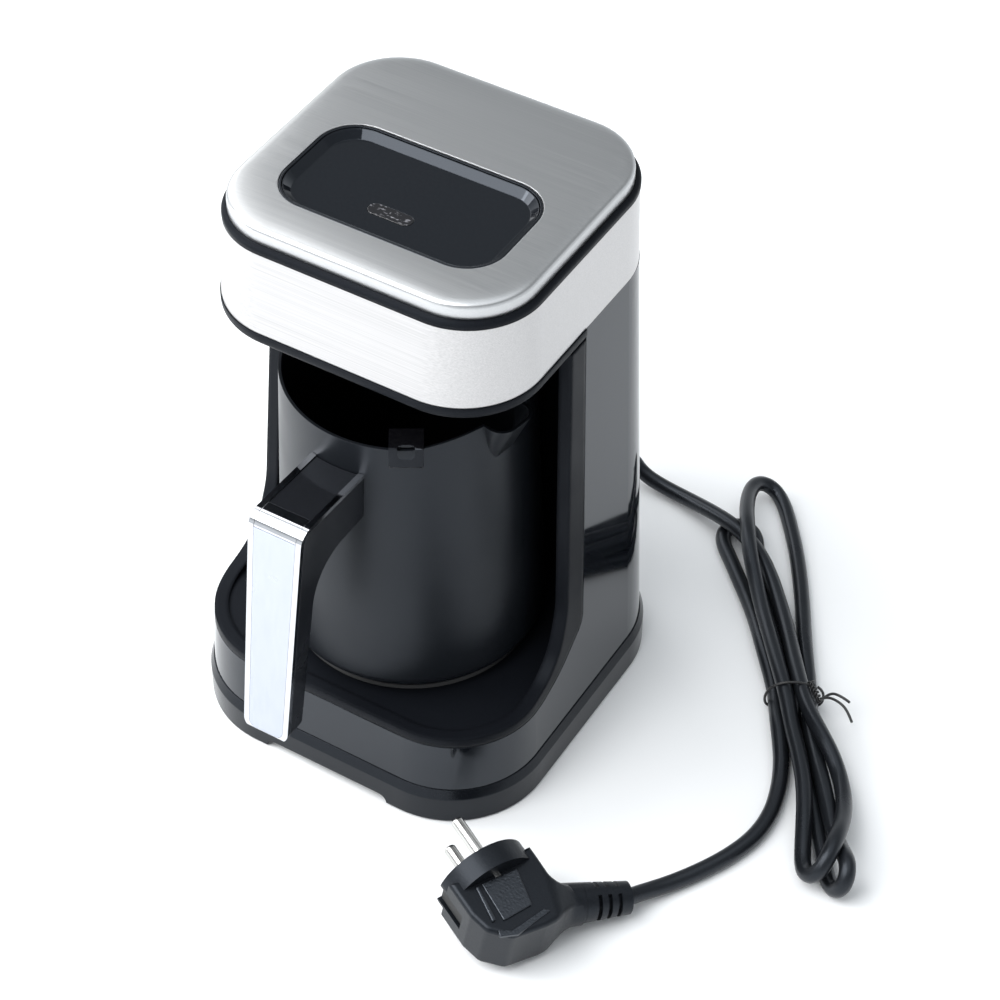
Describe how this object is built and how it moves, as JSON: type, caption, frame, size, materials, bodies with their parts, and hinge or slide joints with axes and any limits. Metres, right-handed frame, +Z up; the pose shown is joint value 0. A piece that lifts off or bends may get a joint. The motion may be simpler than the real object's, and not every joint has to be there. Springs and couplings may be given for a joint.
{
  "type": "electric turkish coffee maker",
  "caption": "Upright coffee maker with a hot plate in an open bay, a lift-out pot with a handle, a push panel on top and a tied mains lead with a plug.",
  "frame": {"origin": "centre of the base on the surface it stands on, leads left out", "axes": "+Z up, -Y towards the front where the pot goes in, +X to the right"},
  "size_m": [0.2759, 0.2802, 0.2422],
  "materials": {
    "shell_black": "gloss",
    "liner_black": "satin",
    "head_steel": "brushed",
    "panel_black": "gloss",
    "lens_grey": "gloss",
    "pot_black": "satin",
    "pot_steel": "satin",
    "disc_aluminium": "turned",
    "grip_black": "satin",
    "thumb_black": "gloss",
    "handle_chrome": "polished",
    "plate_silver": "satin",
    "hot_plate_metal": "coated",
    "seal_silicone": "matte",
    "foot_rubber": "matte",
    "screw_steel": "zinc plated",
    "bracket_steel": "zinc plated",
    "heater_sheath": "heat tinted",
    "thermostat_metal": "satin",
    "fuse_sleeve": "woven",
    "board_green": "solder mask",
    "relay_blue": "moulded",
    "capacitor_yellow": "moulded",
    "terminal_white": "moulded",
    "switch_black": "moulded",
    "plunger_red": "moulded",
    "lamp_clear": "clear",
    "sensor_smoke": "gloss",
    "spring_steel": "drawn wire",
    "wire_cores": "insulated",
    "wire_sleeves": "silicone",
    "cord_black": "satin",
    "plug_black": "moulded",
    "pin_nickel": "nickel plated",
    "tie_black": "satin"
  },
  "bodies": {
    "housing": {"outer_shell": "shell_black", "base_skirt": "shell_black", "front_liner": "liner_black", "head_tray": "liner_black", "head_frame": "liner_black", "steel_band": "head_steel", "lid_plate": "head_steel", "window_bezel": "panel_black", "hot_plate": "hot_plate_metal", "plate_seal": "seal_silicone", "rubber_feet": "foot_rubber", "base_screws": "screw_steel", "bracket_screws": "screw_steel", "plate_nuts": "screw_steel", "board_screws": "screw_steel", "clamp_screws": "screw_steel", "head_screws": "screw_steel", "bezel_screws": "screw_steel", "plate_bracket": "bracket_steel", "heating_element": "heater_sheath", "thermostat": "thermostat_metal", "thermal_fuse": "fuse_sleeve", "power_board": "board_green", "control_board": "board_green", "relay": "relay_blue", "film_capacitor": "capacitor_yellow", "terminal_block": "terminal_white", "cord_clamp": "terminal_white", "micro_switch": "switch_black", "buzzer": "switch_black", "foam_sensor": "switch_black", "indicator_lamps": "lamp_clear", "sensor_window": "sensor_smoke", "button_springs": "spring_steel", "mains_wires": "wire_cores", "heater_wires": "wire_sleeves", "head_wires": "wire_sleeves", "cord_end": "cord_black", "cord_start": "cord_black", "cord_tail": "cord_black", "cord_hank": "cord_black", "plug_body": "plug_black", "plug_relief": "plug_black", "cord_bush": "plug_black", "plug_pins": "pin_nickel", "plug_earth_clips": "pin_nickel", "twist_tie": "tie_black"},
    "pot": {"pot_body": "pot_black", "pot_base_disc": "disc_aluminium", "rim_tab": "pot_steel", "handle_grip": "grip_black", "handle_frame": "handle_chrome", "handle_cap": "handle_chrome", "front_plate": "plate_silver", "thumb_rest": "thumb_black", "handle_bracket": "pot_steel", "handle_screw": "screw_steel"},
    "button": {"control_button": "panel_black", "indicator_lens": "lens_grey"},
    "plunger": {"switch_plunger": "plunger_red"}
  },
  "joints": [
    {"name": "pot_slide", "type": "slide", "parent": "housing", "child": "pot", "axis": [0, -0.993, 0.1184], "range_m": [0, 0.16]},
    {"name": "button_press", "type": "slide", "parent": "housing", "child": "button", "axis": [0, 0, -1], "range_m": [0, 0.0012], "stiffness_N_per_m": 1250, "springref_m": -0.0008, "deforming": ["button_springs"]},
    {"name": "plunger_press", "type": "slide", "parent": "housing", "child": "plunger", "axis": [0, 0, -1], "range_m": [0, 0.0012]}
  ],
  "couplings": [
    {"joint": "plunger_press", "follows": "button_press", "ratio": 1}
  ]
}
